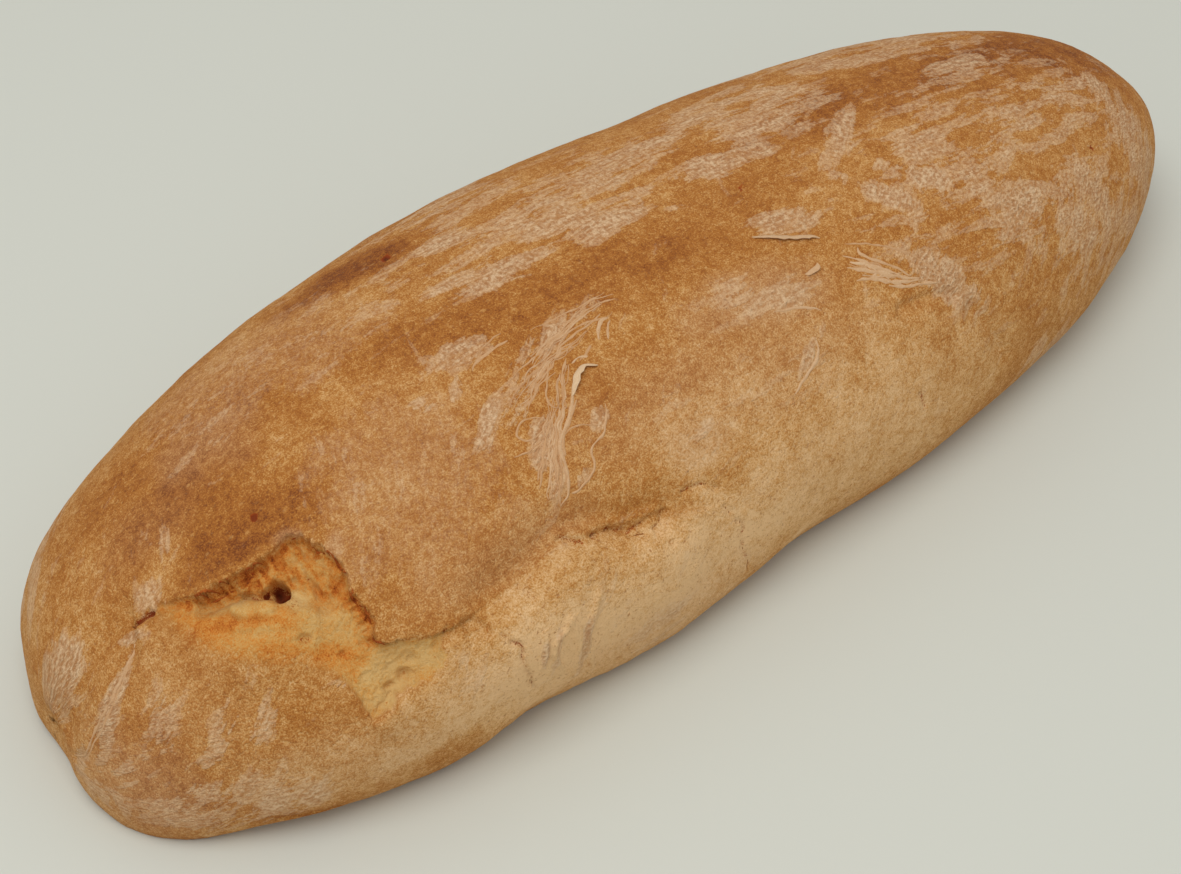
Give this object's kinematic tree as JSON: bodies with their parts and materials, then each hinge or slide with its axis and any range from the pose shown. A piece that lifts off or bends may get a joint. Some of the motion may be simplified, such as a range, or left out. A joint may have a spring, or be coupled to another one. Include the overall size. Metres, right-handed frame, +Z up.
{
  "type": "unsalted bread loaf",
  "caption": "Long oval loaf of unsalted white bread with a floury golden-brown crust, a torn burst along its front side that bares crumb, and a flat base to rest on.",
  "frame": {"origin": "centre of the loaf's footprint box, on the flat base", "axes": "+X along the loaf from its low blunt end to its rounder end, +Z up, the burst side faces -Y"},
  "size_m": [0.4184, 0.1534, 0.0846],
  "materials": {
    "crust": "matt baked crust, golden brown, dusted with flour"
  },
  "bodies": {
    "root": {"loaf": "crust"}
  },
  "joints": []
}
